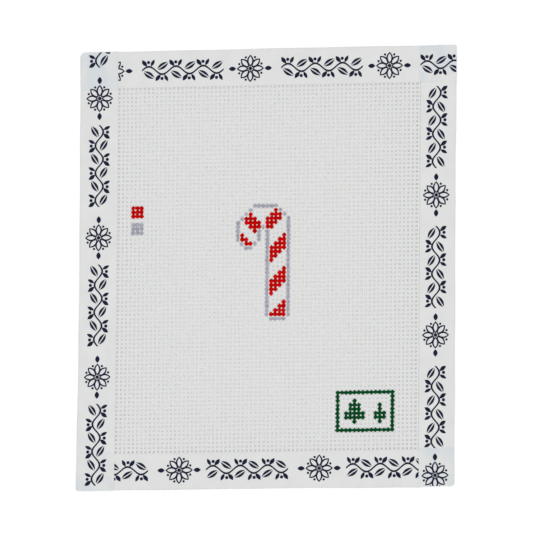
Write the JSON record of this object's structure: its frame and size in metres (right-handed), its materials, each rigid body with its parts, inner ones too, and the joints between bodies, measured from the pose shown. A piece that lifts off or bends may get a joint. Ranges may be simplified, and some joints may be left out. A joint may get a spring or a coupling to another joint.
{
  "type": "needlepoint canvas",
  "caption": "Stitch-painted needlepoint canvas bound in folded tape, with a striped candy cane, two patches of colour and a framed pair of fir trees, lying flat.",
  "frame": {"origin": "under the middle of the object's box, on the surface that it lies on", "axes": "+X to the right of the picture, +Y to its top, +Z out of its painted side"},
  "size_m": [0.1282, 0.1502, 0.0014],
  "materials": {
    "cotton_canvas": "matt sized cotton, open plain weave",
    "binding_tape": "white paper tape with a faint sheen and a navy printed border",
    "red_paint": "satin acrylic paint on thread",
    "grey_paint": "satin acrylic paint on thread",
    "green_paint": "satin acrylic paint on thread"
  },
  "bodies": {
    "root": {"canvas": "cotton_canvas", "tape_bottom": "binding_tape", "tape_right": "binding_tape", "tape_top": "binding_tape", "tape_left": "binding_tape", "stripe_1": "red_paint", "stripe_2": "red_paint", "stripe_3": "red_paint", "stripe_4": "red_paint", "stripe_5": "red_paint", "stripe_6": "red_paint", "cane_outline": "grey_paint", "patch_red": "red_paint", "patch_grey": "grey_paint", "frame_green": "green_paint", "tree_left": "green_paint", "tree_right": "green_paint"}
  },
  "joints": []
}
